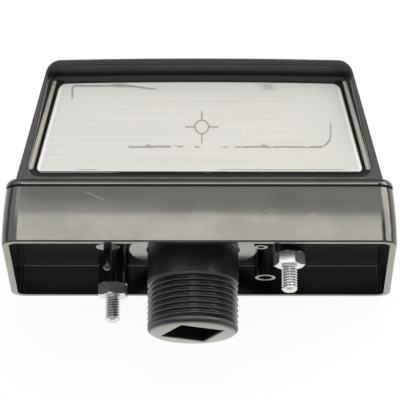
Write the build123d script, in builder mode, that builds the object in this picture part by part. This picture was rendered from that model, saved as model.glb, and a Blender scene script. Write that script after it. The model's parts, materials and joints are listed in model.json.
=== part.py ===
from build123d import *
import math
import os

# Number plate lamp. Its mounting rim lies in the plane Y = 0 and looks along -Y, +Y runs into
# the hood, +Z looks out of the lens, and the flat back is the lowest face. Lengths are in mm.

# Base: an open box that bolts to the vehicle
base_width = 100.0
base_height = 52.0
base_depth = 14.9
base_crown = 1.4
base_side_crown = 0.8
base_wall = 1.8
base_corner = 4.0
sharpest_corner = 0.5
rim_round = 0.4
plate_depth = 8.15
plate_thickness = 2.0
plate_corner = 0.45

# Bosses inside the base, each with its place across the lamp and up it
stud_x = 22.9
stud_z = 14.8
stud_boss_diameter = 7.6
pin_place = (-23.4, 14.4)
pin_boss_diameter = 6.0
pin_boss_end = 1.9
pin_diameter = 2.2
pin_length = 6.1
pin_tip_round = 1.0
wide_boss_place = (17.0, -14.3)
wide_boss_diameter = 5.4
wide_boss_bore = 3.6
narrow_boss_place = (15.7, 14.4)
narrow_boss_diameter = 3.4
narrow_boss_bore = 1.8
boss_bore_depth = 5.0

# Mounting bolts and nuts
bolt_diameter = 4.0
bolt_pitch_diameter = 3.55
bolt_reach = 9.9
bolt_tip_chamfer = 0.6
bolt_head_width = 7.0
bolt_head_height = 2.8
head_socket_wall = 1.6
head_socket_height = 2.2
nut_width = 7.0
nut_height = 3.2
nut_cone_angle = 30.0
nut_turns = [40.0, 10.0]
fastener_clearance = 0.1

# Threaded spigot for the cable, with a square bore
spigot_x = -1.8
spigot_diameter = 23.6
spigot_end = 17.0
spigot_end_round = 1.4
flange_diameter = 33.4
flange_face_depth = 5.3
spigot_seal_thickness = 0.8
neck_diameter = 22.0
neck_clearance = 0.1
bore_width = 12.0
bore_turn = -26.0
spigot_nut_width = 28.0
spigot_nut_height = 3.5

# Seal between base and hood, and the skirt that snaps into the base
seal_thickness = 0.7
seal_inset = 0.8
skirt_clearance = 0.2
skirt_wall = 1.5
skirt_length = 4.0
bead_radius = 0.45
bead_length = 10.0
bead_spacing = 52.0
bead_rise = 1.0
bead_clearance = 0.15

# Hood
lip_thickness = 2.0
lip_round = 1.8
lip_shelf = 2.8
hood_top = 45.35
hood_top_crown = 0.45
hood_wall = 1.7
hood_corner = 4.0
hood_back_round = 16.0
visor_height = 10.3
rim_drop = 1.7
rim_edge_round = 0.3
rim_edge_share = 0.45

# Lens and the recess that it sits in, measured along and square to the lens
lens_tilt = 15.5
lens_foot_depth = 18.8
lens_drop = 2.1
lens_height = 23.1
lens_foot_margin = 4.33
lens_top_width = 71.0
lens_top_margin = 3.65
lens_top_crown = 0.45
lens_foot_corner = 1.2
lens_top_corner = 2.4
lens_thickness = 2.4
lens_edge_round = 0.5
lens_proud = 0.5
lens_gap = 0.4
lens_seal_thickness = 0.6
lens_seat_width = 1.6
frame_thickness = 1.4
ledge_foot = 0.9
ledge_top = 1.7
recess_corner = 2.6
recess_depth = 7.0
recess_top_draft = 26.0
recess_side_draft = 3.0
recess_foot_draft = 8.0

# Strips moulded along the sides of the lens, each below its face and behind a groove
strip_foot = 0.9
strip_over = 0.3
strip_foot_reach = 2.3
strip_top_reach = 1.85
strip_groove = 0.85
strip_drop = 0.8
strip_corner = 0.42
strip_gap = 0.15
strip_web = 0.5
strip_root = 1.0

# Optic on the back of the lens: a light frame and a band of fine ribs
light_frame_width = 65.5
light_frame_foot = 6.7
light_frame_height = 14.2
light_frame_corner = 3.0
light_frame_rib = 0.7
light_frame_depth = 0.8
optic_rib_count = 9
optic_rib_length = 47.0
optic_rib_pitch = 1.0
optic_rib_radius = 0.35

# Reflector
reflector_floor = 15.0
reflector_thickness = 1.2
reflector_edge_gap = 0.6
reflector_top_gap = 1.05
reflector_top_width = 12.9
reflector_floor_round = 9.0
reflector_top_round = 11.0
reflector_gap = 1.0
post_spacing_x = 72.0
post_spacing_z = 24.0
post_diameter = 4.5
post_pip_diameter = 2.0
post_pip_height = 0.6
pip_clearance = 0.1

# Bayonet socket in the neck of the spigot
socket_seat = 3.0
socket_diameter = 16.6
socket_wall = 0.55
socket_height = 17.0
socket_clearance = 0.1
bayonet_slot_width = 2.3
bayonet_turn = 24.0
insulator_thickness = 2.4
terminal_spread = 6.4
terminal_width = 6.3
terminal_thickness = 0.8
terminal_reach = 7.0
terminal_foot = 0.8
earth_foot_width = 4.0
button_diameter = 4.2
button_height = 1.0

# Bulb with a bayonet cap
contact_diameter = 4.4
contact_height = 1.2
bulb_insulator_diameter = 11.0
bulb_insulator_height = 1.6
cap_diameter = 14.9
cap_height = 12.6
cap_wall = 0.7
cap_floor = 1.0
cap_seat_depth = 4.0
cap_seat_ledge = 0.55
cap_pin_rise = 5.0
cap_pin_diameter = 2.0
cap_pin_span = 17.6
glass_clearance = 0.15
globe_diameter = 18.4
glass_length = 22.6
glass_wall = 0.7
filament_wire = 0.5
filament_width = 5.2
filament_height = 11.0

# Places worked out from the sizes above
back_z = -base_height / 2
front_z = base_height / 2
plate_inside = plate_depth + plate_thickness
lip_bottom = base_depth + seal_thickness
lip_top = lip_bottom + lip_thickness
skirt_inset = base_wall + skirt_clearance
skirt_back = back_z + skirt_inset
skirt_front = front_z - base_crown - skirt_inset
bead_depth = lip_bottom - skirt_length + bead_rise
bead_x = bead_spacing / 2
stud_places = [(-stud_x, -stud_z), (stud_x, stud_z)]
spigot_place = (spigot_x, 0)
visor_rise = front_z + visor_height
rim_foot = front_z - rim_drop
rim_tilt = math.degrees(math.atan2(visor_rise - rim_foot, hood_top - lip_top))
lens_foot_rise = front_z - lens_drop
lens_top_depth = lens_foot_depth + lens_height * math.cos(math.radians(lens_tilt))
hood_foot_width = base_width - 2 * (base_side_crown + lip_shelf)
hood_draw_in = (hood_foot_width - lens_top_width) / 2 - lens_top_margin
side_slope = hood_draw_in / (lens_top_depth - lip_top)
side_stretch = math.sqrt(1 + side_slope ** 2)
lens_foot_half = hood_foot_width / 2 - (lens_foot_depth - lip_top) * side_slope - lens_foot_margin
lens_top_half = lens_top_width / 2
lens_side_slope = (lens_foot_half - lens_top_half) / (lens_height - lens_top_crown)
lens_seat = lens_thickness + lens_seal_thickness
free_thread = nut_height + fastener_clearance
reflector_front = skirt_front - skirt_wall - reflector_edge_gap
reflector_back = skirt_back + skirt_wall + reflector_edge_gap
reflector_top = hood_top - hood_wall - reflector_top_gap
socket_bore = socket_diameter - 2 * socket_wall
insulator_top = socket_seat + insulator_thickness
button_top = insulator_top + terminal_foot + button_height
contact_top = button_top + contact_height
cap_bottom = contact_top + bulb_insulator_height
cap_top = cap_bottom + cap_height
glass_bottom = cap_top - cap_seat_depth
glass_top = glass_bottom + glass_length


def level(depth):
    """Plane parallel to the mounting face at a depth into the lamp, looking out of it."""
    return Plane.XZ.offset(-depth)


def tilted(depth, rise, angle):
    """Plane through a point above the mounting face, turned from the front towards it."""
    lean = math.radians(angle)
    return Plane(origin=(0, depth, rise), x_dir=(1, 0, 0), z_dir=(0, -math.sin(lean), math.cos(lean)))


def base_section(depth, wall):
    """Outline of the base at a depth, brought in by a wall. Past the base it keeps its last crown."""
    drawn_in = (min(depth, base_depth) / base_depth) ** 2
    top = front_z - base_crown * drawn_in - wall
    bottom = back_z + wall
    width = base_width - 2 * (base_side_crown * drawn_in + wall)
    corner = max(base_corner - wall, sharpest_corner)
    with BuildSketch(level(depth)) as section:
        with Locations((0, (top + bottom) / 2)):
            RectangleRounded(width, top - bottom, corner)
    return section.sketch


def base_sections(first, last, wall):
    """Three outlines that carry the crown of the base from one depth to another."""
    return [base_section(depth, wall) for depth in (first, (first + last) / 2, last)]


def hood_outline(rise, inset, foot):
    """Front outline of the hood at a height, brought in by an inset and cut off at the foot."""
    foot_half = hood_foot_width / 2 - inset * side_stretch + (lip_top - foot) * side_slope
    shoulder = hood_top - hood_top_crown - inset
    shoulder_half = foot_half - (shoulder - foot) * side_slope
    with BuildSketch(Plane.XY.offset(rise)) as outline:
        with BuildLine():
            Polyline(
                (-shoulder_half, shoulder),
                (-foot_half, foot),
                (foot_half, foot),
                (shoulder_half, shoulder),
            )
            ThreePointArc((shoulder_half, shoulder), (0, hood_top - inset), (-shoulder_half, shoulder))
        make_face()
    return outline.sketch


def lens_outline(plane, grow):
    """Outline of the lens on a plane along it, grown all round."""
    shoulder = lens_height - lens_top_crown
    with BuildSketch(plane) as outline:
        with BuildLine():
            Polyline(
                (-lens_top_half, shoulder),
                (-lens_foot_half, 0),
                (lens_foot_half, 0),
                (lens_top_half, shoulder),
            )
            ThreePointArc((lens_top_half, shoulder), (0, lens_height), (-lens_top_half, shoulder))
        make_face()
        fillet(outline.vertices().group_by(Axis.Y)[0], lens_foot_corner)
        fillet(outline.vertices().group_by(Axis.Y)[-1], lens_top_corner)
        if grow:
            offset(amount=grow, mode=Mode.REPLACE)
    return outline.sketch


def strip_outline(plane, near, grow):
    """Outlines on a plane along the lens of the strips beside it, from a distance off its edge outwards."""
    foot = strip_foot - grow
    top = lens_height + strip_over + grow
    foot_edge = lens_foot_half - lens_side_slope * foot
    top_edge = lens_foot_half - lens_side_slope * top
    with BuildSketch(plane) as outline:
        with BuildLine():
            Polyline(
                (foot_edge + near, foot),
                (foot_edge + strip_foot_reach + grow, foot),
                (top_edge + strip_top_reach + grow, top),
                (top_edge + near, top),
                close=True,
            )
        make_face()
        fillet(outline.vertices(), strip_corner)
        mirror(about=Plane.YZ)
    return outline.sketch


def recess_outline(height):
    """Outline of the visor recess at a height above the ledge, wider by the draft of each wall."""
    side = height * math.tan(math.radians(recess_side_draft))
    foot = -ledge_foot - height * math.tan(math.radians(recess_foot_draft))
    rise = ledge_top + height * math.tan(math.radians(recess_top_draft))
    shoulder = lens_height - lens_top_crown + rise
    foot_half = lens_foot_half + strip_foot_reach + strip_gap + side
    top_half = lens_top_half + strip_top_reach + strip_gap + side
    with BuildSketch(ledge_plane.offset(height)) as outline:
        with BuildLine():
            Polyline((-top_half, shoulder), (-foot_half, foot), (foot_half, foot), (top_half, shoulder))
            ThreePointArc((top_half, shoulder), (0, lens_height + rise), (-top_half, shoulder))
        make_face()
        fillet(outline.vertices(), recess_corner)
    return outline.sketch


lens_plane = tilted(lens_foot_depth, lens_foot_rise, lens_tilt)
rim_plane = tilted(lip_top, rim_foot, rim_tilt)
ledge_plane = lens_plane.offset(-lens_proud)
seat_plane = lens_plane.offset(-lens_seat)
frame_back_plane = seat_plane.offset(-frame_thickness)


# Base housing: crowned box with a recess on each side of its plate
with BuildPart() as base_housing:
    loft(sections=base_sections(0, base_depth, 0))
    fillet(base_housing.edges().group_by(Axis.Y)[0], rim_round)
    loft(sections=base_sections(0, plate_depth, base_wall), mode=Mode.SUBTRACT)
    plate_face = base_housing.faces().filter_by_position(Axis.Y, plate_depth, plate_depth)[0]
    fillet(plate_face.edges(), plate_corner)
    loft(sections=base_sections(plate_inside, base_depth, base_wall), mode=Mode.SUBTRACT)
    # Stud bosses come down to the mounting plane, with hexagon sockets behind for the bolt heads
    with BuildSketch(level(plate_depth)):
        with Locations(*stud_places):
            Circle(stud_boss_diameter / 2)
    extrude(amount=plate_depth)
    with BuildSketch(level(plate_inside)):
        with Locations(*stud_places):
            Circle(bolt_head_width / math.sqrt(3) + head_socket_wall)
    extrude(amount=-head_socket_height)
    with BuildSketch(level(plate_inside)):
        with Locations(*stud_places):
            RegularPolygon(bolt_head_width / 2 + fastener_clearance, 6, major_radius=False)
    extrude(amount=-head_socket_height, mode=Mode.SUBTRACT)
    with BuildSketch(level(plate_inside)):
        with Locations(*stud_places):
            Circle(bolt_diameter / 2 + fastener_clearance)
    extrude(amount=plate_inside, mode=Mode.SUBTRACT)
    # Locating pin on its own boss
    with BuildSketch(level(plate_depth)):
        with Locations(pin_place):
            Circle(pin_boss_diameter / 2)
    extrude(amount=plate_depth - pin_boss_end)
    with BuildSketch(level(pin_boss_end)):
        with Locations(pin_place):
            Circle(pin_diameter / 2)
    extrude(amount=pin_length)
    fillet(base_housing.edges().group_by(Axis.Y)[0], pin_tip_round)
    # Two hollow bosses end level with the pin's boss
    for place, outside, bore in [
        (wide_boss_place, wide_boss_diameter, wide_boss_bore),
        (narrow_boss_place, narrow_boss_diameter, narrow_boss_bore),
    ]:
        with BuildSketch(level(plate_depth)):
            with Locations(place):
                Circle(outside / 2)
        extrude(amount=plate_depth - pin_boss_end)
        with BuildSketch(level(pin_boss_end)):
            with Locations(place):
                Circle(bore / 2)
        extrude(amount=-boss_bore_depth, mode=Mode.SUBTRACT)
    # Hole for the neck of the spigot
    with BuildSketch(level(plate_depth)):
        with Locations(spigot_place):
            Circle(neck_diameter / 2 + neck_clearance)
    extrude(amount=-plate_thickness, mode=Mode.SUBTRACT)
    # Posts that carry the reflector, with pips through its floor
    with BuildSketch(level(plate_inside)):
        with GridLocations(post_spacing_x, post_spacing_z, 2, 2):
            Circle(post_diameter / 2)
    extrude(amount=plate_inside - reflector_floor)
    with BuildSketch(level(reflector_floor)):
        with GridLocations(post_spacing_x, post_spacing_z, 2, 2):
            Circle(post_pip_diameter / 2)
    extrude(amount=-(reflector_thickness + post_pip_height))
    # Grooves in the straight back wall for two snap beads; the others catch under the crowned front
    with Locations((-bead_x, bead_depth, skirt_back), (bead_x, bead_depth, skirt_back)):
        Cylinder(
            bead_radius + bead_clearance,
            bead_length + 2 * bead_clearance,
            rotation=(0, 90, 0),
            mode=Mode.SUBTRACT,
        )
base_housing.part.label = "base_housing"

# Seal on the rim of the base, set back from its edge
with BuildPart() as hood_seal:
    extrude(base_section(base_depth, seal_inset), amount=-seal_thickness)
    extrude(base_section(base_depth, base_wall), amount=-seal_thickness, mode=Mode.SUBTRACT)
hood_seal.part.label = "hood_seal"

# Room inside the hood: its outline drawn in by the wall, stopped behind the lens frame
with BuildPart() as hood_room:
    extrude(hood_outline(back_z + hood_wall, hood_wall, lip_top), amount=visor_rise - back_z)
    fillet(hood_room.edges().group_by(Axis.Z)[0].sort_by(Axis.Y)[-1], hood_back_round - hood_wall)
    split(bisect_by=frame_back_plane, keep=Keep.BOTTOM)

# Lip that the hood stands on, rounded along its upper edge except at the flat back
with BuildPart() as hood_lip:
    extrude(base_section(lip_bottom, 0), amount=-lip_thickness)
    upper_edges = hood_lip.edges().group_by(Axis.Y)[-1]
    fillet(upper_edges.sort_by(Axis.Z)[1:], lip_round)

# Hood: tapered body cut off at the visor rim, on its lip, with a skirt that drops into the base
with BuildPart() as hood:
    extrude(hood_outline(back_z, 0, lip_bottom), amount=2 * (visor_rise - back_z))
    fillet(hood.edges().group_by(Axis.Z)[0].sort_by(Axis.Y)[-1], hood_back_round)
    side_edges = hood.faces().sort_by(Axis.X)[0].edges() + hood.faces().sort_by(Axis.X)[-1].edges()
    ends = side_edges.group_by(Axis.Z)[-1] + side_edges.group_by(Axis.Y)[0]
    fillet([edge for edge in side_edges if edge not in ends], hood_corner)
    split(bisect_by=rim_plane, keep=Keep.BOTTOM)
    # Recess with sloping walls that runs down from the visor rim to a ledge round the lens
    loft([recess_outline(0), recess_outline(recess_depth)], ruled=True, mode=Mode.SUBTRACT)
    rim_face = hood.faces().filter_by(rim_plane).sort_by(Axis.Z)[-1]
    rim_edges = rim_face.edges().group_by(Axis.Y)[1:]
    # Where the rim is narrow, its edges are rounded by no more than a share of its width
    rim_width = rim_face.outer_wire().distance_to(rim_face.inner_wires()[0])
    rim_edge = min(rim_edge_round, rim_edge_share * rim_width)
    fillet([edge for group in rim_edges for edge in group], rim_edge)
    add(hood_lip.part)
    # Pockets for the lens and its strips, and the window behind it
    extrude(lens_outline(ledge_plane, lens_gap), amount=lens_proud - lens_seat, mode=Mode.SUBTRACT)
    strip_pocket = lens_thickness + strip_gap - lens_proud
    pocket_root = strip_root + lens_gap
    extrude(strip_outline(ledge_plane, -pocket_root, strip_gap), amount=-strip_pocket, mode=Mode.SUBTRACT)
    add(hood_room.part, mode=Mode.SUBTRACT)
    extrude(lens_outline(seat_plane, -lens_seat_width), amount=-frame_thickness, mode=Mode.SUBTRACT)
    # Skirt with snap beads, and the opening through it
    extrude(base_section(lip_bottom, skirt_inset), amount=skirt_length)
    with Locations(*[(x, bead_depth, z) for x in (-bead_x, bead_x) for z in (skirt_back, skirt_front)]):
        Cylinder(bead_radius, bead_length, rotation=(0, 90, 0))
    extrude(
        base_section(lip_top, skirt_inset + skirt_wall),
        amount=lip_thickness + skirt_length,
        mode=Mode.SUBTRACT,
    )
hood.part.label = "hood"

# Lens: a tapered plate with a rounded front edge, a strip along each side, and an optic on its back
with BuildPart() as lens:
    extrude(lens_outline(lens_plane, 0), amount=-lens_thickness)
    fillet(lens.faces().filter_by(lens_plane).sort_by(Axis.Z)[-1].edges(), lens_edge_round)
    lens_back = lens_plane.offset(-lens_thickness)
    extrude(strip_outline(lens_back, strip_groove, 0), amount=lens_thickness - strip_drop)
    extrude(strip_outline(lens_back, -strip_root, 0), amount=strip_web)
    with BuildSketch(lens_back):
        with Locations((0, light_frame_foot + light_frame_height / 2)):
            RectangleRounded(light_frame_width, light_frame_height, light_frame_corner)
            offset(amount=-light_frame_rib, mode=Mode.SUBTRACT)
    extrude(amount=-light_frame_depth)
    light_frame_top = light_frame_foot + light_frame_height - light_frame_rib
    optic_middle = light_frame_top - optic_rib_pitch * optic_rib_count / 2
    with Locations(lens_back):
        with Locations((0, optic_middle)):
            with GridLocations(0, optic_rib_pitch, 1, optic_rib_count):
                Cylinder(optic_rib_radius, optic_rib_length, rotation=(0, 90, 0))
lens.part.label = "lens"

# Seal under the edge of the lens
with BuildPart() as lens_seal:
    extrude(lens_outline(seat_plane, 0), amount=lens_seal_thickness)
    extrude(lens_outline(seat_plane, -lens_seat_width), amount=lens_seal_thickness, mode=Mode.SUBTRACT)
lens_seal.part.label = "lens_seal"

# Reflector: one bent trough behind the bulb, trimmed to the inside of the hood
with BuildPart() as reflector:
    with BuildSketch(Plane.YZ):
        with BuildLine():
            FilletPolyline(
                (reflector_floor, reflector_front),
                (reflector_floor, reflector_back),
                (reflector_top, reflector_back),
                (reflector_top, reflector_back + reflector_top_width),
                radius=[reflector_floor_round, reflector_top_round],
            )
            offset(amount=reflector_thickness, side=Side.LEFT)
        make_face()
    extrude(amount=base_width / 2, both=True)
    extrude(
        hood_outline(back_z, hood_wall + reflector_gap, lip_bottom - lip_thickness),
        amount=base_height,
        mode=Mode.INTERSECT,
    )
    with BuildSketch(level(reflector_floor)):
        with Locations(spigot_place):
            Circle(socket_diameter / 2 + reflector_gap)
        with GridLocations(post_spacing_x, post_spacing_z, 2, 2):
            Circle(post_pip_diameter / 2 + pip_clearance)
    extrude(amount=-2 * reflector_thickness, mode=Mode.SUBTRACT)
reflector.part.label = "reflector"

# Threaded spigot: flange outside the plate, neck through it, square bore for the cable
with BuildPart() as threaded_spigot:
    with BuildSketch(level(flange_face_depth)):
        with Locations(spigot_place):
            Circle(flange_diameter / 2)
    extrude(amount=-(plate_depth - spigot_seal_thickness - flange_face_depth))
    with BuildSketch(level(flange_face_depth)):
        with Locations(spigot_place):
            Circle(spigot_diameter / 2)
    extrude(amount=flange_face_depth + spigot_end)
    fillet(threaded_spigot.edges().group_by(Axis.Y)[0], spigot_end_round)
    neck_top = plate_inside + spigot_nut_height
    with BuildSketch(level(flange_face_depth)):
        with Locations(spigot_place):
            Circle(neck_diameter / 2)
    extrude(amount=flange_face_depth - neck_top)
    with BuildSketch(level(neck_top)):
        with Locations(spigot_place):
            Circle(socket_diameter / 2 + socket_clearance)
    extrude(amount=neck_top - socket_seat, mode=Mode.SUBTRACT)
    with BuildSketch(level(socket_seat)):
        with Locations(spigot_place):
            Rectangle(bore_width, bore_width, rotation=bore_turn)
    extrude(amount=socket_seat + spigot_end, mode=Mode.SUBTRACT)
threaded_spigot.part.label = "threaded_spigot"

# Seal under the flange of the spigot
with BuildPart() as spigot_seal:
    with BuildSketch(level(plate_depth)):
        with Locations(spigot_place):
            Circle(flange_diameter / 2)
            Circle(neck_diameter / 2 + neck_clearance, mode=Mode.SUBTRACT)
    extrude(amount=spigot_seal_thickness)
spigot_seal.part.label = "spigot_seal"

# Nut that clamps the plate to the spigot from inside
with BuildPart() as spigot_nut:
    with BuildSketch(level(plate_inside)):
        with Locations(spigot_place):
            RegularPolygon(spigot_nut_width / 2, 6, major_radius=False)
            Circle(neck_diameter / 2 + neck_clearance, mode=Mode.SUBTRACT)
    extrude(amount=-spigot_nut_height)
spigot_nut.part.label = "spigot_nut"

# Mounting bolts, their heads in the sockets of the base, at pitch diameter up to the free thread
with BuildPart() as mounting_bolts:
    with BuildSketch(level(plate_inside)):
        with Locations(*stud_places):
            RegularPolygon(bolt_head_width / 2, 6, major_radius=False)
    extrude(amount=-bolt_head_height)
    with BuildSketch(level(plate_inside)):
        with Locations(*stud_places):
            Circle(bolt_pitch_diameter / 2)
    extrude(amount=plate_inside + free_thread)
    with BuildSketch(level(-free_thread)):
        with Locations(*stud_places):
            Circle(bolt_diameter / 2)
    extrude(amount=bolt_reach - free_thread)
    chamfer(mounting_bolts.edges().group_by(Axis.Y)[0], bolt_tip_chamfer)
mounting_bolts.part.label = "mounting_bolts"

# Mounting nuts, run up to the bosses, their corners turned down to a cone at both faces
nut_corner = nut_width / math.sqrt(3)
nut_cone = (nut_corner - nut_width / 2) * math.tan(math.radians(nut_cone_angle))
with BuildPart() as nut_blanks:
    for place in stud_places:
        rings = []
        for depth, radius in [
            (0, nut_width / 2),
            (nut_cone, nut_corner),
            (nut_height - nut_cone, nut_corner),
            (nut_height, nut_width / 2),
        ]:
            with BuildSketch(level(-depth), mode=Mode.PRIVATE) as ring:
                with Locations(place):
                    Circle(radius)
            rings.append(ring.sketch)
        loft(sections=rings, ruled=True)
with BuildPart() as mounting_nuts:
    with BuildSketch(level(0)):
        for place, turn in zip(stud_places, nut_turns):
            with Locations(place):
                RegularPolygon(nut_width / 2, 6, major_radius=False, rotation=turn)
    extrude(amount=nut_height)
    add(nut_blanks.part, mode=Mode.INTERSECT)
    with BuildSketch(level(0)):
        with Locations(*stud_places):
            Circle(bolt_pitch_diameter / 2 + fastener_clearance)
    extrude(amount=nut_height, mode=Mode.SUBTRACT)
mounting_nuts.part.label = "mounting_nuts"

# Bayonet socket: a thin tube with a hooked slot on each side for the pins of the bulb
pin_level = cap_bottom + cap_pin_rise
socket_top = socket_seat + socket_height
slot_bottom = pin_level - bayonet_slot_width / 2
hook_shift = socket_diameter / 2 * math.sin(math.radians(bayonet_turn))
with BuildPart() as socket_shell:
    with BuildSketch(level(socket_seat)):
        with Locations(spigot_place):
            Circle(socket_diameter / 2)
            Circle(socket_bore / 2, mode=Mode.SUBTRACT)
    extrude(amount=-socket_height)
    for side in (-1, 1):
        with BuildSketch(Plane.YZ.offset(spigot_x)):
            with Locations(((socket_top + slot_bottom) / 2, -side * hook_shift)):
                Rectangle(socket_top - slot_bottom, bayonet_slot_width)
            with Locations((pin_level, -side * hook_shift / 2)):
                Rectangle(bayonet_slot_width, hook_shift + bayonet_slot_width)
        extrude(amount=side * socket_diameter, mode=Mode.SUBTRACT)
socket_shell.part.label = "socket_shell"

# Insulating disc at the foot of the socket, slotted for the two terminals
terminal_places = [(-terminal_spread / 2, 0), (terminal_spread / 2, 0)]
terminal_plane = Plane(origin=(spigot_x, 0, 0), x_dir=(1, 0, 0), z_dir=(0, -1, 0))
terminal_plane = terminal_plane.rotated((0, -bore_turn, 0))
with BuildPart() as socket_insulator:
    with BuildSketch(terminal_plane.offset(-socket_seat)):
        Circle(socket_bore / 2 - socket_clearance)
        with Locations(*terminal_places):
            Rectangle(
                terminal_thickness + 2 * socket_clearance,
                terminal_width + 2 * socket_clearance,
                mode=Mode.SUBTRACT,
            )
    extrude(amount=-insulator_thickness)
socket_insulator.part.label = "socket_insulator"

# Feed terminal: a blade in the bore, bent over the disc to a button under the bulb
with BuildPart() as feed_terminal:
    with BuildSketch(terminal_plane.offset(terminal_reach)):
        with Locations(terminal_places[1]):
            Rectangle(terminal_thickness, terminal_width)
    extrude(amount=-(terminal_reach + insulator_top))
    with BuildSketch(terminal_plane.offset(-insulator_top)):
        with Locations((terminal_spread / 4 + terminal_thickness / 4, 0)):
            Rectangle(terminal_spread / 2 + terminal_thickness / 2, button_diameter)
        Circle(button_diameter / 2)
    extrude(amount=-terminal_foot)
    with BuildSketch(terminal_plane.offset(-insulator_top - terminal_foot)):
        Circle(button_diameter / 2)
    extrude(amount=-button_height)
    fillet(feed_terminal.edges().group_by(Axis.Y)[-1], button_height / 2)
feed_terminal.part.label = "feed_terminal"

# Earth terminal: a blade in the bore, bent outwards over the disc to the wall of the socket
earth_reach = math.sqrt((socket_bore / 2) ** 2 - (earth_foot_width / 2) ** 2) - socket_clearance
with BuildPart() as earth_terminal:
    with BuildSketch(terminal_plane.offset(terminal_reach)):
        with Locations(terminal_places[0]):
            Rectangle(terminal_thickness, terminal_width)
    extrude(amount=-(terminal_reach + insulator_top))
    with BuildSketch(terminal_plane.offset(-insulator_top)):
        foot_start = terminal_spread / 2 - terminal_thickness / 2
        with Locations((-(foot_start + earth_reach) / 2, 0)):
            Rectangle(earth_reach - foot_start, earth_foot_width)
    extrude(amount=-terminal_foot)
earth_terminal.part.label = "earth_terminal"

# Solder contact at the foot of the bulb
with BuildPart() as bulb_contact:
    with BuildSketch(level(button_top)):
        with Locations(spigot_place):
            Circle(contact_diameter / 2)
    extrude(amount=-contact_height)
    fillet(bulb_contact.edges().group_by(Axis.Y)[0], contact_height / 3)
bulb_contact.part.label = "bulb_contact"

# Insulator between contact and cap
with BuildPart() as bulb_insulator:
    with BuildSketch(level(contact_top), mode=Mode.PRIVATE) as narrow_end:
        with Locations(spigot_place):
            Circle(contact_diameter / 2 + cap_wall)
    with BuildSketch(level(cap_bottom), mode=Mode.PRIVATE) as wide_end:
        with Locations(spigot_place):
            Circle(bulb_insulator_diameter / 2)
    loft(sections=[narrow_end.sketch, wide_end.sketch])
bulb_insulator.part.label = "bulb_insulator"

# Cap of the bulb: a cup with a seat for the glass and a pin on each side
with BuildPart() as bulb_cap:
    with BuildSketch(level(cap_bottom)):
        with Locations(spigot_place):
            Circle(cap_diameter / 2)
    extrude(amount=cap_bottom - cap_top)
    with BuildSketch(level(cap_bottom + cap_floor)):
        with Locations(spigot_place):
            Circle(cap_diameter / 2 - cap_wall - cap_seat_ledge)
    extrude(amount=cap_bottom + cap_floor - cap_top, mode=Mode.SUBTRACT)
    with BuildSketch(level(glass_bottom)):
        with Locations(spigot_place):
            Circle(cap_diameter / 2 - cap_wall)
    extrude(amount=glass_bottom - cap_top, mode=Mode.SUBTRACT)
    for side in (-1, 1):
        with BuildSketch(Plane.YZ.offset(spigot_x + side * (cap_diameter / 2 - cap_wall / 2))):
            with Locations((pin_level, 0)):
                Circle(cap_pin_diameter / 2)
        extrude(amount=side * (cap_pin_span - cap_diameter + cap_wall) / 2)
bulb_cap.part.label = "bulb_cap"

# Glass of the bulb: a hollow globe on a neck
neck_radius = cap_diameter / 2 - cap_wall - glass_clearance
globe_middle = glass_top - globe_diameter / 2
with BuildPart() as bulb_glass:
    for inset, mode in [(0, Mode.ADD), (glass_wall, Mode.SUBTRACT)]:
        with BuildSketch(Plane.XY):
            with BuildLine():
                radius = globe_diameter / 2 - inset
                neck = neck_radius - inset
                bottom = glass_bottom + inset
                join = globe_middle - math.sqrt(radius ** 2 - neck ** 2)
                Polyline((0, globe_middle + radius), (0, bottom), (neck, bottom), (neck, join))
                ThreePointArc((neck, join), (radius, globe_middle), (0, globe_middle + radius))
            make_face()
        revolve(axis=Axis.Y, mode=mode)
bulb_glass.part.locate(Location((spigot_x, 0, 0)))
bulb_glass.part.label = "bulb_glass"

# Filament between its two lead wires, standing on the floor of the glass
lead_foot = glass_bottom + glass_wall
lead_half = filament_width / 2
with BuildPart() as bulb_filament:
    with BuildLine():
        lead = FilletPolyline(
            (spigot_x - lead_half, lead_foot),
            (spigot_x - lead_half, lead_foot + filament_height),
            (spigot_x + lead_half, lead_foot + filament_height),
            (spigot_x + lead_half, lead_foot),
            radius=filament_wire,
        )
    with BuildSketch(Plane(lead @ 0, z_dir=lead % 0)):
        Circle(filament_wire / 2)
    sweep()
bulb_filament.part.label = "bulb_filament"

os.makedirs("parts", exist_ok=True)
for piece in [
    base_housing,
    hood_seal,
    hood,
    lens,
    lens_seal,
    reflector,
    threaded_spigot,
    spigot_seal,
    spigot_nut,
    mounting_bolts,
    mounting_nuts,
    socket_shell,
    socket_insulator,
    feed_terminal,
    earth_terminal,
    bulb_contact,
    bulb_insulator,
    bulb_cap,
    bulb_glass,
    bulb_filament,
]:
    export_step(piece.part, f"parts/{piece.part.label}.step")
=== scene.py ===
"""Number plate lamp on a white studio floor: threads, lens mark, finishes, light and camera."""

import json
import math
from functools import reduce

import bpy
from mathutils import Matrix, Vector


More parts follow.
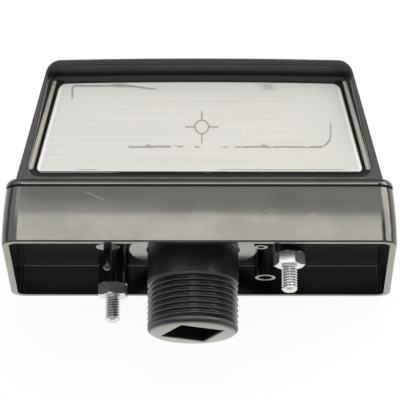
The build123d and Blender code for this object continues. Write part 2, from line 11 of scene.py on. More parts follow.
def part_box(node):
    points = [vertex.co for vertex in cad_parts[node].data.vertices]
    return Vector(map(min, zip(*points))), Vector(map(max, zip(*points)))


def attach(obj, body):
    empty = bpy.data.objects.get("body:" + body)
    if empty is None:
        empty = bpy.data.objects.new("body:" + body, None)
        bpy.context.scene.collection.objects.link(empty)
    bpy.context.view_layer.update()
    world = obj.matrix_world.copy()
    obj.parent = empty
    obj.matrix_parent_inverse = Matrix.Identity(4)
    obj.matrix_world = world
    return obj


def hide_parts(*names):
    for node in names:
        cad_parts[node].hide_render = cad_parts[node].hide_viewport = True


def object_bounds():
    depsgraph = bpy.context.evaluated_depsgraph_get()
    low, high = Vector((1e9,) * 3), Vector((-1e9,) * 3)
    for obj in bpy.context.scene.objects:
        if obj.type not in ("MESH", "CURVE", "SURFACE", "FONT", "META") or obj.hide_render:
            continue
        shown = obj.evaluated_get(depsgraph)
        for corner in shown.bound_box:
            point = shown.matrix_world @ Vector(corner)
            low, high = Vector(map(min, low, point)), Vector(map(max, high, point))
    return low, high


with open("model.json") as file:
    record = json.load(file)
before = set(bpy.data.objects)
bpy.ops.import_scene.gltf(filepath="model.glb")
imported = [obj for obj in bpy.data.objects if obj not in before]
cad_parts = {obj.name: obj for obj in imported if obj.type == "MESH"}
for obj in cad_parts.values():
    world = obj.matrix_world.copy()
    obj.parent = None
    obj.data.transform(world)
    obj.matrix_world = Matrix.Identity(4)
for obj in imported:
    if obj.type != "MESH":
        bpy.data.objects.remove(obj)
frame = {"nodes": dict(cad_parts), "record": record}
nodes = frame["nodes"]
cad_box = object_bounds()
MM = 0.001

# Sizes and places are in millimetres; the camera's distance and the studio are in metres.
# A zone is given by the values at which it begins and is full,
# a stretch by its two ends and the softness of the ends.

# Threaded spigot; its axis runs along Y
spigot_low, spigot_high = (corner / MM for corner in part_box("threaded_spigot"))
spigot_x = (spigot_low.x + spigot_high.x) / 2
spigot_z = (spigot_low.z + spigot_high.z) / 2
spigot_end = spigot_low.y
spigot_top = spigot_high.y
spigot_radius = 11.7
spigot_flange_radius = (spigot_high.x - spigot_low.x) / 2
spigot_flange_face = 5.3
spigot_flange_back = 7.35
spigot_neck_radius = 11.0
spigot_collar_radius = 11.75
spigot_collar_end = -3.4
spigot_foot_ring = 0.35
spigot_socket_radius = 8.4
spigot_socket_floor = 3.0
spigot_bore_half = 6.0
spigot_bore_turn = math.radians(-26.0)
spigot_edge = 0.25
spigot_end_round = 1.4
spigot_end_steps = 6
spigot_thread_pitch = 1.48
spigot_thread_depth = 0.75
spigot_points = 160

# Mounting bolts: hexagon head inside the base, plain shank, free thread outside the nut
bolts_low, bolts_high = (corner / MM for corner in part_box("mounting_bolts"))
nuts_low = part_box("mounting_nuts")[0] / MM
bolt_places = [(-22.9, -14.8), (22.9, 14.8)]
bolt_head_top = bolts_high.y
bolt_head_height = 2.8
bolt_head_half = 3.5
bolt_head_chamfer = 0.3
bolt_shank_radius = 1.775
bolt_radius = 2.0
bolt_thread_gap = 0.1
bolt_thread_start = nuts_low.y - bolt_thread_gap
bolt_thread_pitch = 0.7
bolt_thread_depth = 0.4
bolt_tip = bolts_low.y
bolt_tip_chamfer = 0.6
bolt_tip_radius = bolt_radius - bolt_tip_chamfer
bolt_points = 48
# Rings that break the edge of the tip: height above the tip, and widening of its radius
bolt_tip_edge = [(0.08, 0.06), (0.0, -0.05)]

# Form of both threads: rings to a pitch, then run-out, crest and flanks as shares of the pitch
thread_rings = 11
thread_run_out = 0.6
thread_crest = 0.12
thread_flanks = 0.66

# Lens: its own axes run across it, up it and out of its face
lens_tilt = math.radians(15.5)
lens_foot_depth = 18.8
lens_foot_rise = 23.9
lens_height = 23.1
lens_foot_half = 41.7
lens_top_half = 35.5
lens_side_slope = (lens_foot_half - lens_top_half) / lens_height

# Reference mark on the face of the lens: a ring with four arms
mark_place = (0.6, 11.65)
mark_ring_radius = 1.7
mark_arm_end = 4.2
mark_arm_tip = 0.6
mark_line = 0.4
mark_rise = 0.03
mark_points = 72

# Gate mark in the front of the base, close to its rim
gate_place = (0.25, 0.95)
gate_radius = 0.62
gate_line = 0.12
gate_rise = 0.05
base_front = 26.0

# Edges between faces are sharp beyond this angle
sharp_angle = math.radians(38.0)

# Wear of the black moulding: the front of the base, and the duller wall at the top of the recess
front_rise_zone = (20.0, 22.0)
front_depth_zone = (18.5, 16.5)
wall_depth_zone = (40.6, 41.6)
wall_rise_zone = (29.0, 30.0)
wall_facing_zone = (0.5, 0.1)

# Scratches on the front of the base: start, end, width and strength
scratch_taper = 0.1
scratches = [
    ((-29.0, 13.5), (-24.2, 11.3), 0.3, 1.0),
    ((14.1, 7.3), (18.4, 8.9), 0.16, 0.5),
    ((16.4, 6.8), (19.7, 9.1), 0.16, 0.5),
]

# Threads: painted highlight on the crests and painted shade in the valleys, by the depth below the crests
spigot_crest_highlight_zone = (0.2, 0.04)
spigot_valley_shade_zone = (0.35, 0.6)
spigot_thread_zone = (spigot_collar_end, spigot_collar_end - 0.4)
spigot_flat_facing_zone = (-0.75, -0.95)
bolt_valley_shade_zone = (0.2, 0.36)
bolt_threaded_stretch = (bolt_tip + bolt_tip_chamfer, bolt_thread_start, 0.1)

# Plain finishes: how much finer their grain is than their cloud
grain_ratio = 9

# Light frame behind the lens: a rounded outline that sags at one place and has tighter upper corners
light_frame_middle = (0.5, 14.3)
light_frame_half = (32.8, 7.75)
light_frame_corner = 3.2
light_frame_upper_corner = 0.8
light_frame_upper_zone = (14.0, 15.0)
light_frame_sag = 0.8
light_frame_sag_stretch = (-15.0, -9.0, 4.0)
light_frame_line_zone = (0.36, 0.1)
light_frame_waver = 0.35

# Where the light frame shows: its upper left, and its lower side and right corner with gaps
seen_left_zone = (-10.0, -12.5)
seen_high_zone = (18.2, 19.4)
seen_low_zone = (13.5, 12.0)
seen_from_zone = (-18.5, -17.5)
seen_until_zone = (34.0, 33.0)
seen_gaps_stretch = (-8.5, 10.8, 0.4)

# Smudges near the frame: stretch across, height, width, strength, and whether it is patchy
lens_smudges = [
    ((-22.0, -18.4, 0.9), 22.15, 0.7, 0.8, False),
    ((14.6, 19.4, 1.4), 21.75, 1.3, 0.5, True),
    ((15.6, 17.2, 0.4), 6.75, 0.6, 0.9, False),
    ((-13.6, -12.4, 0.5), 6.75, 0.6, 0.9, False),
]

# Fine ribs across the upper part of the lens
rib_pitch = 1.0
rib_wave_zone = (0.2, 1.0)
rib_height_stretch = (15.0, 19.8, 0.5)
rib_width_stretch = (-23.5, 23.0, 4.0)

# Edges of the lens: face, bevels with a painted highlight, strips beside it, and the painted shade and
# painted highlights along its foot
lens_face_zone = (-0.35, -0.1)
bevel_stretch = (0.15, 1.0, 0.25)
strip_groove = 0.85
strip_ease = 0.1
strip_ridge_offset = 0.62
strip_ridge_width = 0.2
strip_ridge_zone = (17.0, 9.0)
foot_height_zone = (0.42, 0.34)
foot_side_zone = (0.0, 0.3)
foot_highlight_stretch = (0.45, 0.62, 0.06)
foot_glint_height_zone = (0.2, 0.14)
foot_glint_left_zone = (-19.0, -24.0)
foot_line_height = 0.78
foot_line_width = 0.2
foot_line_left = (-31.0, -26.0, 1.5)
foot_line_right = (5.0, 37.0, 2.0)

# Camera: looks down on the lens from the mounting side, a little from the right
camera_elevation = math.radians(73.2)
camera_swing = math.radians(0.5)
camera_roll = math.radians(0.2)
camera_distance = 0.995
camera_aim = Vector((0, 17.35, 4.8)) * MM
camera_focal = 346.7
camera_sensor = 36.0

# Studio: floor, surround and light panels, these by name, place, width, length, radiance and colour
floor_half = 3.0
floor_glow = 1.02
floor_glow_share = 0.92
surround_strength = 0.3
warm_light = (1.0, 0.957, 0.86)
plain_light = (1.0, 1.0, 1.0)
cool_light = (0.98, 1.0, 0.9)
light_panels = [
    ("overhead_panel", (0.02, 0.335, 1.06), 0.44, 0.36, 5.2, warm_light),
    ("back_panel", (0.0, 0.82, 0.98), 1.2, 0.60, 1.35, cool_light),
    ("front_panel", (0.0, -0.62, 0.95), 1.0, 0.45, 1.0, plain_light),
    ("right_panel", (0.86, 0.45, 0.60), 0.95, 0.80, 4.6, warm_light),
    ("left_panel", (-0.66, 0.30, 0.80), 1.2, 1.10, 1.0, plain_light),
]


class Value:
    """A shader socket that can be used in sums."""

    # Share of a line's width that is at full strength
    line_core = 0.3

    def __init__(self, tree, socket):
        self.tree = tree
        self.socket = socket

    def node(self, kind, output, sockets, **settings):
        """Any node of the same tree: its settings first, then its sockets by name or number."""
        made = self.tree.nodes.new(kind)
        for name, setting in settings.items():
            setattr(made, name, setting)
        for name, value in sockets.items():
            if isinstance(value, Value):
                self.tree.links.new(value.socket, made.inputs[name])
            else:
                made.inputs[name].default_value = value
        return Value(self.tree, made.outputs[output])

    def compute(self, operation, *values):
        return self.node("ShaderNodeMath", 0, dict(enumerate(values)), operation=operation)

    def __add__(self, other):
        return self.compute("ADD", self, other)

    def __sub__(self, other):
        return self.compute("SUBTRACT", self, other)

    def __rsub__(self, other):
        return self.compute("SUBTRACT", other, self)

    def __mul__(self, other):
        return self.compute("MULTIPLY", self, other)

    def __abs__(self):
        return self.compute("ABSOLUTE", self)

    __radd__ = __add__
    __rmul__ = __mul__

    def root(self):
        return self.compute("SQRT", self)

    def sine(self):
        return self.compute("SINE", self)

    def larger(self, other):
        return self.compute("MAXIMUM", self, other)

    def smaller(self, other):
        return self.compute("MINIMUM", self, other)

    def ramp(self, low, high):
        """0 at low, 1 at high, eased between."""
        sockets = {0: self, 1: low, 2: high}
        return self.node("ShaderNodeMapRange", 0, sockets, interpolation_type="SMOOTHSTEP")

    def band(self, low, high, soft):
        """1 between low and high, with soft ends."""
        return self.ramp(low - soft, low + soft) * self.ramp(high + soft, high - soft)

    def line(self, middle, width):
        """1 on a thin line at a value."""
        return abs(self - middle).ramp(width, width * self.line_core)

    def stretched(self, across, deep, high):
        """A place with its three directions scaled."""
        return self.node("ShaderNodeVectorMath", 0, {0: self, 1: (across, deep, high)}, operation="MULTIPLY")

    def noise(self, scale, detail=2.0):
        return self.node("ShaderNodeTexNoise", 0, {"Vector": self, "Scale": scale, "Detail": detail})

    def spots(self, scale):
        """Distance to the nearest of many scattered points."""
        return self.node("ShaderNodeTexVoronoi", 0, {"Vector": self, "Scale": scale})

    def blend(self, first, second):
        """A colour between two, by this value."""
        return self.node("ShaderNodeMix", 2, {0: self, 6: first, 7: second}, data_type="RGBA")

    def bump(self, distance):
        """The normal of a surface with this height."""
        return self.node("ShaderNodeBump", 0, {"Height": self, "Distance": distance * MM})


def shade(red, green, blue):
    """Linear colour of an on-screen colour."""
    levels = [level / 255 for level in (red, green, blue)]
    linear = [level / 12.92 if level < 0.04045 else ((level + 0.055) / 1.055) ** 2.4 for level in levels]
    return (*linear, 1.0)


def new_material(name):
    """Empty material, with the place of each point in millimetres."""
    material = bpy.data.materials.new(name)
    material.use_nodes = True
    tree = material.node_tree
    tree.nodes.clear()
    place = Value(tree, tree.nodes.new("ShaderNodeTexCoord").outputs["Object"])
    return material, place.stretched(1 / MM, 1 / MM, 1 / MM)


def close_material(material, shader):
    """The material with its surface set."""
    output = material.node_tree.nodes.new("ShaderNodeOutputMaterial")
    material.node_tree.links.new(shader.socket, output.inputs["Surface"])
    return material


def principled(material, place, sockets):
    """The material with the common surface shader."""
    return close_material(material, place.node("ShaderNodeBsdfPrincipled", 0, sockets))


def axes_of(place):
    """The three directions of a place as values."""
    return [place.node("ShaderNodeSeparateXYZ", axis, {0: place}) for axis in ("X", "Y", "Z")]


def facing(place):
    """How far the surface faces the back, from -1 on the mounting side to 1."""
    return axes_of(place.node("ShaderNodeNewGeometry", "Normal", {}))[1]


def from_axis(x, z, centre):
    """Distance from an axis along Y."""
    across = x - centre[0]
    high = z - centre[1]
    return (across * across + high * high).root()


def scratch(x, y, start, end, width, strength):
    """Short straight scratch between two points of the front."""
    length = math.dist(start, end)
    along_x = (end[0] - start[0]) / length
    along_y = (end[1] - start[1]) / length
    along = (x - start[0]) * along_x + (y - start[1]) * along_y
    aside = (y - start[1]) * along_x - (x - start[0]) * along_y
    return aside.line(0.0, width) * along.band(0.0, length, length * scratch_taper) * strength


def gloss_black():
    """Black moulding under a clear gloss, with a soft orange peel, rubbing, dust and a few scratches."""
    material, place = new_material("gloss_black_moulding")
    x, y, z = axes_of(place)
    haze = place.noise(0.06, detail=3.0)
    cloud = place.noise(0.1, detail=3.0).ramp(0.36, 0.64)
    rubbing = place.stretched(0.05, 1.3, 1.3).noise(2.2, detail=4.0).ramp(0.62, 0.78)
    dust = place.spots(1.1).ramp(0.09, 0.04) * place.noise(0.21).ramp(0.56, 0.66)
    worn = (rubbing * haze * 0.5).larger(dust)
    front = z.ramp(*front_rise_zone) * y.ramp(*front_depth_zone)
    marks = reduce(Value.larger, [scratch(x, y, *mark) for mark in scratches]) * front
    matt = y.ramp(*wall_depth_zone) * z.ramp(*wall_rise_zone) * facing(place).ramp(*wall_facing_zone)
    peel = place.noise(0.9, detail=1.0) * 0.02
    body = worn.blend((0.0085, 0.009, 0.0088, 1), (0.03, 0.03, 0.029, 1))
    return principled(material, place, {
        "Base Color": marks.blend(body, shade(82, 82, 77)),
        "Roughness": 0.13 + haze * 0.08 + worn * 0.12 + matt * 0.18,
        "IOR": 1.55,
        "Coat Weight": (0.9 - haze * 0.2 + (0.5 - cloud) * front * 0.3) * (1.0 - matt * 0.85),
        "Coat Roughness": 0.1,
        "Normal": peel.bump(0.25),
    })


def satin_black():
    """Satin black moulding: painted highlight on the crests of the thread, painted shade in its valleys, flat
    ends left smooth by the mould.
    """
    material, place = new_material("satin_black_moulding")
    x, y, z = axes_of(place)
    cloud = place.noise(0.3, detail=3.0)
    grain = place.noise(2.7)
    flat_end = facing(place).ramp(*spigot_flat_facing_zone)
    below = spigot_radius - from_axis(x, z, (spigot_x, spigot_z))
    # Painted highlight: the thread crests below the collar painted paler
    crest_highlight = below.ramp(*spigot_crest_highlight_zone) * y.ramp(*spigot_thread_zone)
    # Painted shade: the thread valleys darkened, except on the flat ends
    valley_shade = below.ramp(*spigot_valley_shade_zone) * (1.0 - flat_end)
    body = cloud.ramp(0.3, 0.7).blend((0.008, 0.008, 0.009, 1), (0.014, 0.014, 0.015, 1))
    # Painted highlight on the thread crests
    body = (crest_highlight * (0.5 + grain * 0.5) * (1.0 - flat_end)).blend(body, shade(84, 84, 83))
    return principled(material, place, {
        # Painted shade in the thread valleys
        "Base Color": (valley_shade * 0.7).blend(body, (0.004, 0.004, 0.004, 1)),
        "Roughness": 0.42 - flat_end * 0.26 + (cloud - 0.5) * 0.12,
        "Coat Weight": 0.15 + flat_end * 0.85,
        "Coat Roughness": 0.12,
        "Normal": grain.bump(0.004),
    })


def zinc_plate():
    """Bright zinc plate with a fine turned grain, a few dull spots and painted shade in the thread valleys.
    """
    material, place = new_material("bright_zinc_plate")
    x, y, z = axes_of(place)
    cloud = place.noise(0.5, detail=3.0)
    turned = place.stretched(0.4, 5.0, 0.4).noise(1.2)
    dull = place.spots(0.5).ramp(0.22, 0.1) * cloud.ramp(0.5, 0.62)
    # Painted shade: the thread valleys darkened along the free thread
    below = bolt_radius - reduce(Value.smaller, [from_axis(x, z, centre) for centre in bolt_places])
    valley_shade = below.ramp(*bolt_valley_shade_zone) * y.band(*bolt_threaded_stretch)
    bright = cloud.blend(shade(230, 233, 236), shade(244, 246, 248))
    bright = (dull * 0.6).blend(bright, shade(180, 182, 183))
    return principled(material, place, {
        # Painted shade in the thread valleys
        "Base Color": (valley_shade * 0.75).blend(bright, shade(96, 98, 101)),
        "Roughness": 0.2 + turned * 0.1 + dull * 0.12,
        "Metallic": 0.82 - dull * 0.1,
        "Normal": turned.bump(0.004),
    })


def lens_axes(place):
    """Across the lens, up it from its foot, and out of its face."""
    x, y, z = axes_of(place)
    deep = y - lens_foot_depth
    high = z - lens_foot_rise
    up = deep * math.cos(lens_tilt) + high * math.sin(lens_tilt)
    out = high * math.cos(lens_tilt) - deep * math.sin(lens_tilt)
    return x, up, out


def light_frame_lines(across, up, broken):
    """Outline of the light frame behind the lens, in the stretches that show through."""
    upper = up.ramp(*light_frame_upper_zone)
    sag = across.band(*light_frame_sag_stretch) * upper * light_frame_sag
    corner = light_frame_corner - upper * (light_frame_corner - light_frame_upper_corner)
    past_side = abs(across - light_frame_middle[0]) - (light_frame_half[0] - corner)
    past_top = abs(up + sag - light_frame_middle[1]) - (light_frame_half[1] - corner)
    over_side = past_side.larger(0.0)
    over_top = past_top.larger(0.0)
    round_part = (over_side * over_side + over_top * over_top).root()
    straight_part = past_side.larger(past_top).smaller(0.0)
    from_outline = round_part + straight_part - corner
    outline = abs(from_outline + (broken - 0.5) * light_frame_waver).ramp(*light_frame_line_zone)
    upper_left = across.ramp(*seen_left_zone) * up.ramp(*seen_high_zone)
    lower = across.ramp(*seen_from_zone) * up.ramp(*seen_low_zone) * across.ramp(*seen_until_zone)
    gaps = across.band(*seen_gaps_stretch) * broken.ramp(0.56, 0.46)
    return outline * upper_left.larger(lower) * (1.0 - gaps) * broken.ramp(0.22, 0.42)


def milky_lens():
    """Milky plastic; the light frame and the ribs behind it show through as broken lines."""
    material, place = new_material("milky_lens")
    across, up, out = lens_axes(place)
    broken = place.stretched(0.35, 1, 1).noise(0.8, detail=3.0)
    streaks = place.stretched(0.04, 1.6, 1.6).noise(0.9, detail=3.0)
    speckle = place.noise(1.9)
    # Lines and smudges on the light frame, and the ribs above it
    seen = light_frame_lines(across, up, broken)
    for stretch, height, width, strength, patchy in lens_smudges:
        smudge = across.band(*stretch) * up.line(height, width) * strength
        if patchy:
            smudge = smudge * broken.ramp(0.3, 0.6)
        seen = seen.larger(smudge)
    rib_wave = (up * (2 * math.pi / rib_pitch)).sine().ramp(*rib_wave_zone)
    ribs = rib_wave * up.band(*rib_height_stretch) * across.band(*rib_width_stretch)
    # Face: streaks, ribs, painted highlights on the bevels, the painted shade line along the foot and the
    # light frame
    from_side = (lens_foot_half - up * lens_side_slope) - abs(across)
    # Painted highlight where light catches the side bevels and the foot
    bevel_highlight = from_side.band(*bevel_stretch).larger(up.band(*foot_highlight_stretch))
    # Painted shade: a thin dark line where the face rounds over at its foot
    foot_shade_line = across.band(*foot_line_left).larger(across.band(*foot_line_right))
    foot_shade_line = up.line(foot_line_height, foot_line_width) * foot_shade_line
    face = (streaks * 0.75 + speckle * 0.25).ramp(0.25, 0.75)
    face = face.blend(shade(208, 207, 206), shade(218, 217, 216))
    face = (ribs * 0.3 * broken).blend(face, shade(190, 188, 183))
    face = (bevel_highlight * 0.8).blend(face, shade(246, 245, 243))
    face = (foot_shade_line * 0.6).blend(face, shade(110, 108, 104))
    face = (seen * 0.62).blend(face, shade(92, 90, 87))
    # Sides: the groove painted dark as shade, then a strip painted darker than the face as shade, with a
    # painted highlight along its ridge
    ridge_highlight = from_side.line(-strip_groove - strip_ridge_offset, strip_ridge_width)
    ridge_highlight = ridge_highlight * up.ramp(*strip_ridge_zone)
    strip = from_side.ramp(-strip_groove + strip_ease, -strip_groove - strip_ease)
    # Painted shade in the groove and on the strip, painted highlight on the ridge
    side = strip.blend(shade(40, 40, 39), ridge_highlight.blend(shade(188, 186, 177), shade(226, 224, 216)))
    # Foot: painted shade, with a painted glint at the left and in patches
    foot_shade = up.ramp(*foot_height_zone) * from_side.ramp(*foot_side_zone)
    glint = across.ramp(*foot_glint_left_zone).larger(broken.ramp(0.6, 0.7) * 0.5)
    glint = up.ramp(*foot_glint_height_zone) * glint
    foot_shade_and_glint = glint.blend(shade(62, 61, 58), shade(244, 243, 240))
    return principled(material, place, {
        "Base Color": (foot_shade * 0.9).blend(out.ramp(*lens_face_zone).blend(side, face), foot_shade_and_glint),
        "Roughness": 0.24 + speckle * 0.08 + seen * 0.1,
        "IOR": 1.46,
        "Specular IOR Level": 0.2,
        "Normal": (place.noise(1.2) * 0.3 + ribs * 0.2).bump(0.04),
    })


def clear_glass():
    """Thin clear glass with a slight cloud in its gloss."""
    material, place = new_material("clear_bulb_glass")
    cloud = place.noise(0.3)
    return principled(material, place, {
        "Base Color": cloud.blend((0.96, 0.97, 0.97, 1), (0.9, 0.92, 0.92, 1)),
        "Roughness": 0.02 + cloud * 0.04,
        "IOR": 1.5,
        "Transmission Weight": 1.0,
        "Normal": place.noise(0.5, detail=1.0).bump(0.02),
    })


def plain_finish(name, first, second, scale, roughness, grain, metallic=0.0):
    """Finish that wanders between two colours, with a grain to its gloss and surface."""
    material, place = new_material(name)
    cloud = place.noise(scale, detail=3.0)
    fine = place.noise(scale * grain_ratio)
    return principled(material, place, {
        "Base Color": cloud.ramp(0.3, 0.7).blend(first, second),
        "Roughness": roughness + (cloud - 0.5) * 0.12 + (fine - 0.5) * 0.08,
        "Metallic": metallic,
        "Normal": fine.bump(grain),
    })


def make_finishes():
    """One material for each slot of the record."""
    return {
        "black_gloss_plastic": gloss_black(),
        "black_satin_plastic": satin_black(),
        "milky_lens_plastic": milky_lens(),
        "white_plastic": plain_finish(
            "gloss_white_moulding", shade(232, 232, 228), shade(240, 240, 237),
            scale=0.1, roughness=0.3, grain=0.02,
        ),
        "seal_rubber": plain_finish(
            "seal_rubber_black", (0.01, 0.01, 0.01, 1), (0.018, 0.018, 0.017, 1),
            scale=0.5, roughness=0.7, grain=0.06,
        ),
        "zinc_steel": zinc_plate(),
        "brass": plain_finish(
            "brass_strip", shade(190, 158, 92), shade(206, 176, 110),
            scale=0.4, roughness=0.3, grain=0.02, metallic=1.0,
        ),
        "nickel_plated_brass": plain_finish(
            "nickel_plate", shade(205, 202, 195), shade(220, 217, 211),
            scale=0.4, roughness=0.24, grain=0.02, metallic=1.0,
        ),
        "solder": plain_finish(
            "dull_solder", shade(170, 170, 170), shade(190, 190, 190),
            scale=0.8, roughness=0.45, grain=0.05, metallic=1.0,
        ),
        "brown_insulator": plain_finish(
            "phenolic_board", shade(98, 66, 44), shade(122, 84, 56),
            scale=0.5, roughness=0.55, grain=0.05,
        ),
        "black_glass": plain_finish(
            "black_bead_glass", (0.01, 0.01, 0.012, 1), (0.016, 0.016, 0.02, 1),
            scale=0.5, roughness=0.1, grain=0.01,
        ),
        "clear_glass": clear_glass(),
        "tungsten": plain_finish(
            "drawn_wire", shade(112, 112, 114), shade(134, 134, 136),
            scale=2.0, roughness=0.4, grain=0.02, metallic=1.0,
        ),
    }


def dress_solids(finishes):
    """Give each solid of the frame the finish of its slot."""
    for subpart in frame["record"]["subparts"]:
        for slot in nodes[subpart["node"]].material_slots:
            slot.material = finishes[subpart["material_slot"]]


def circle(x, z, y, radius, points, turn=0.0):
    """Ring of points round an axis along Y."""
    angles = [turn + 2 * math.pi * step / points for step in range(points)]
    return [(x + radius * math.cos(angle), y, z + radius * math.sin(angle)) for angle in angles]


def polygon(x, z, y, half, sides, points, turn=0.0):
    """Ring of points along a regular polygon, measured across its flats, from one of its corners."""
    corner = half / math.cos(math.pi / sides)
    per_side = points // sides
    ring = []
    for side in range(sides):
        first = turn + 2 * math.pi * side / sides
        last = turn + 2 * math.pi * (side + 1) / sides
        for step in range(per_side):
            share = step / per_side
            across = corner * ((1 - share) * math.cos(first) + share * math.cos(last))
            high = corner * ((1 - share) * math.sin(first) + share * math.sin(last))
            ring.append((x + across, y, z + high))
    return ring


def thread(x, z, start, end, pitch, radius, depth, points, turn=0.0):
    """Rings that carry a screw thread from start to end, running out at both."""
    rows = math.ceil(abs(end - start) / (pitch / thread_rings))
    rings = []
    for row in range(rows + 1):
        y = start + (end - start) * row / rows
        run = min(abs(y - start), abs(y - end)) / pitch
        fade = min(1.0, run / thread_run_out)
        ring = []
        for step in range(points):
            angle = turn + 2 * math.pi * step / points
            phase = (y / pitch + step / points) % 1.0
            groove = min(1.0, max(0.0, (abs(2 * phase - 1) - thread_crest) / thread_flanks))
            here = radius - depth * fade * groove
            ring.append((x + here * math.cos(angle), y, z + here * math.sin(angle)))
        rings.append(ring)
    return rings


def skin(rings, closed=False):
    """Points and faces of a skin over rings of equal count.

    A closed skin joins its last ring to its first; an open one has a flat face at each end.
    """
    count = len(rings[0])
    points = [point for ring in rings for point in ring]
    pairs = [(row, row + 1) for row in range(len(rings) - 1)]
    if closed:
        pairs.append((len(rings) - 1, 0))
    faces = []
    for low, high in pairs:
        for step in range(count):
            after = (step + 1) % count
            faces.append((low * count + step, low * count + after, high * count + after, high * count + step))
    if not closed:
        faces.append(tuple(reversed(range(count))))
        faces.append(tuple(range((len(rings) - 1) * count, len(rings) * count)))
    return points, faces


def spigot_shape():
    """Flanged tube with a collar under the flange, a coarse thread and a square bore."""
    turn = spigot_bore_turn + math.pi / 4

    def round_at(y, radius):
        return circle(spigot_x, spigot_z, y, radius, spigot_points, turn)

    def bore_at(y, half):
        return polygon(spigot_x, spigot_z, y, half, 4, spigot_points, turn)

    edge = spigot_edge
    thread_start = spigot_collar_end - edge
    round_start = spigot_end + spigot_end_round
    rings = [
        bore_at(spigot_socket_floor, spigot_bore_half),
        round_at(spigot_socket_floor, spigot_socket_radius),
        round_at(spigot_top, spigot_socket_radius),
        round_at(spigot_top, spigot_neck_radius - edge),
        round_at(spigot_top - edge, spigot_neck_radius),
        round_at(spigot_flange_back, spigot_neck_radius),
        round_at(spigot_flange_back, spigot_flange_radius - edge),
        round_at(spigot_flange_back - edge, spigot_flange_radius),
        round_at(spigot_flange_face + edge, spigot_flange_radius),
        round_at(spigot_flange_face, spigot_flange_radius - edge),
        round_at(spigot_flange_face, spigot_collar_radius + spigot_foot_ring),
        round_at(spigot_flange_face - spigot_foot_ring, spigot_collar_radius),
        round_at(spigot_collar_end, spigot_collar_radius),
        round_at(thread_start, spigot_radius),
    ]
    rings += thread(
        spigot_x, spigot_z, thread_start, round_start, spigot_thread_pitch, spigot_radius,
        spigot_thread_depth, spigot_points, turn,
    )
    for step in range(1, spigot_end_steps + 1):
        angle = math.pi / 2 * step / spigot_end_steps
        rings.append(round_at(
            round_start - spigot_end_round * math.sin(angle),
            spigot_radius - spigot_end_round * (1 - math.cos(angle)),
        ))
    rings += [
        bore_at(spigot_end, spigot_bore_half + edge),
        bore_at(spigot_end + edge, spigot_bore_half),
    ]
    return skin(rings, closed=True)


def bolt_shape(x, z):
    """Hexagon head, plain shank and free thread with a chamfered tip."""
    head_bottom = bolt_head_top - bolt_head_height

    def round_at(y, radius):
        return circle(x, z, y, radius, bolt_points)

    def hexagon_at(y, half):
        return polygon(x, z, y, half, 6, bolt_points)

    rings = [
        hexagon_at(bolt_head_top, bolt_head_half - bolt_head_chamfer),
        hexagon_at(bolt_head_top - bolt_head_chamfer, bolt_head_half),
        hexagon_at(head_bottom, bolt_head_half),
        round_at(head_bottom, bolt_shank_radius),
        round_at(bolt_thread_start, bolt_shank_radius),
    ]
    rings += thread(
        x, z, bolt_thread_start, bolt_tip + bolt_tip_chamfer, bolt_thread_pitch, bolt_radius,
        bolt_thread_depth, bolt_points,
    )
    rings += [round_at(bolt_tip + rise, bolt_tip_radius + widening) for rise, widening in bolt_tip_edge]
    return skin(rings)


def on_lens(across, up, out):
    """A point in the axes of the lens."""
    y = lens_foot_depth + up * math.cos(lens_tilt) - out * math.sin(lens_tilt)
    z = lens_foot_rise + up * math.sin(lens_tilt) + out * math.cos(lens_tilt)
    return (across, y, z)


def on_base_front(across, deep, out):
    """A point on the crowned front of the base, close to its rim."""
    return (across, deep, base_front + out)


def raised_line(line, rise):
    """Section of a low raised line with sloping sides, sunk a little into its ground."""
    return [(-line / 2, -rise), (-line / 3, rise), (line / 3, rise), (line / 2, -rise)]


def raised_ring(put, centre, radius, line, rise):
    """Low raised ring round a centre."""
    rings = []
    for step in range(mark_points):
        angle = 2 * math.pi * step / mark_points
        rings.append([
            put(
                centre[0] + (radius + off) * math.cos(angle),
                centre[1] + (radius + off) * math.sin(angle),
                out,
            )
            for off, out in raised_line(line, rise)
        ])
    return skin(rings, closed=True)


def raised_arm(put, centre, start, end, line, rise, angle):
    """Low raised bar that points away from a centre, narrower at its tip."""
    along = (math.cos(angle), math.sin(angle))
    aside = (-along[1], along[0])
    rings = []
    for reach, narrow in ((start, 1.0), (end - line / 2, 1.0), (end, mark_arm_tip)):
        rings.append([
            put(
                centre[0] + reach * along[0] + off * narrow * aside[0],
                centre[1] + reach * along[1] + off * narrow * aside[1],
                out,
            )
            for off, out in raised_line(line, rise)
        ])
    return skin(rings)


def piece(name, shapes, material, stands_for=None):
    """One object from shapes in millimetres, riding on the lamp."""
    points, faces = [], []
    for shape_points, shape_faces in shapes:
        start = len(points)
        points += [Vector(point) * MM for point in shape_points]
        faces += [tuple(start + index for index in face) for face in shape_faces]
    mesh = bpy.data.meshes.new(name)
    mesh.from_pydata(points, [], faces)
    mesh.polygons.foreach_set("use_smooth", [True] * len(faces))
    mesh.set_sharp_from_angle(angle=sharp_angle)
    mesh.materials.append(material)
    made = bpy.data.objects.new(name, mesh)
    bpy.context.scene.collection.objects.link(made)
    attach(made, "root")
    if stands_for:
        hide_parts(stands_for)


def add_pieces(finishes):
    """Threaded pieces, the mark on the lens and the gate mark."""
    piece("threaded_spigot_body", [spigot_shape()], finishes["black_satin_plastic"],
          "threaded_spigot")
    piece("threaded_bolts", [bolt_shape(x, z) for x, z in bolt_places], finishes["zinc_steel"],
          "mounting_bolts")
    mark = [raised_ring(on_lens, mark_place, mark_ring_radius, mark_line, mark_rise)]
    mark += [
        raised_arm(on_lens, mark_place, mark_ring_radius, mark_arm_end, mark_line, mark_rise, angle)
        for angle in (0.0, math.pi / 2, math.pi, 3 * math.pi / 2)
    ]
    grey = plain_finish(
        "mark_grey", shade(140, 138, 132), shade(158, 156, 150),
        scale=1.5, roughness=0.4, grain=0.01,
    )
    piece("lens_reference_mark", mark, grey)
    gate = [raised_ring(on_base_front, gate_place, gate_radius, gate_line, gate_rise)]
    piece("gate_mark", gate, finishes["black_gloss_plastic"])


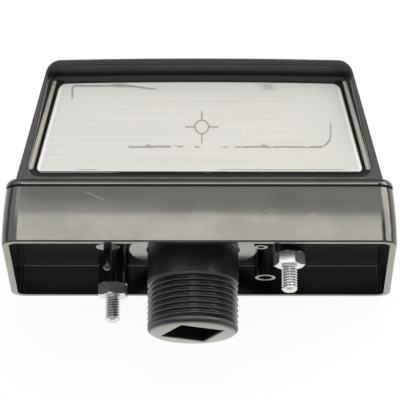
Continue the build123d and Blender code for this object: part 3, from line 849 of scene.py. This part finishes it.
def white_floor():
    """Floor that reads white and still takes the shadow of the lamp."""
    half = floor_half
    level = cad_box[0][2]
    mesh = bpy.data.meshes.new("studio_floor")
    corners = [(-half, -half, level), (half, -half, level), (half, half, level), (-half, half, level)]
    mesh.from_pydata(corners, [], [(0, 1, 2, 3)])
    floor = bpy.data.objects.new("studio_floor", mesh)
    bpy.context.scene.collection.objects.link(floor)
    material, place = new_material("white_floor")
    paper = place.noise(0.02).blend((0.84, 0.84, 0.84, 1), (0.86, 0.86, 0.86, 1))
    lit = place.node("ShaderNodeBsdfDiffuse", 0, {"Color": paper})
    camera_ray, glossy_ray, clear_ray = [
        place.node("ShaderNodeLightPath", ray, {})
        for ray in ("Is Camera Ray", "Is Glossy Ray", "Is Transmission Ray")
    ]
    tint = glossy_ray.blend((1, 1, 1, 1), (1, 0.98, 0.9, 1))
    glow = place.node("ShaderNodeEmission", 0, {"Color": tint, "Strength": floor_glow})
    seen = camera_ray.larger(glossy_ray).larger(clear_ray)
    mixed = place.node("ShaderNodeMixShader", 0, {0: seen * floor_glow_share, 1: lit, 2: glow})
    mesh.materials.append(close_material(material, mixed))


def add_panel(name, place, width, length, radiance, colour):
    """Soft light panel that looks at the lamp, of a given radiance."""
    light = bpy.data.lights.new(name, "AREA")
    light.shape = "RECTANGLE"
    light.size = width
    light.size_y = length
    light.energy = radiance * math.pi * width * length
    light.color = colour
    made = bpy.data.objects.new(name, light)
    bpy.context.scene.collection.objects.link(made)
    made.location = place
    made.rotation_euler = (Vector(place) - camera_aim).to_track_quat("Z", "Y").to_euler()


def studio():
    """White surround and soft panels above, behind, before and beside the lamp."""
    world = bpy.data.worlds.new("studio_surround")
    bpy.context.scene.world = world
    world.use_nodes = True
    background = world.node_tree.nodes["Background"]
    background.inputs["Color"].default_value = (1.0, 1.0, 1.0, 1.0)
    background.inputs["Strength"].default_value = surround_strength
    for light_panel in light_panels:
        add_panel(*light_panel)


def add_camera():
    """Camera on the lamp at the chosen elevation and swing."""
    away = Vector((
        math.sin(camera_swing),
        -math.cos(camera_elevation) * math.cos(camera_swing),
        math.sin(camera_elevation) * math.cos(camera_swing),
    )).normalized()
    right = Vector((away.z, 0, -away.x)).normalized()
    upward = away.cross(right)
    data = bpy.data.cameras.new("camera")
    data.lens = camera_focal
    data.sensor_width = camera_sensor
    made = bpy.data.objects.new("camera", data)
    bpy.context.scene.collection.objects.link(made)
    turn = Matrix((right, upward, away)).transposed().to_4x4() @ Matrix.Rotation(camera_roll, 4, "Z")
    made.matrix_world = Matrix.Translation(camera_aim + away * camera_distance) @ turn
    bpy.context.scene.camera = made


finishes = make_finishes()
dress_solids(finishes)
add_pieces(finishes)
white_floor()
studio()
add_camera()
bpy.context.scene.view_settings.view_transform = "Standard"
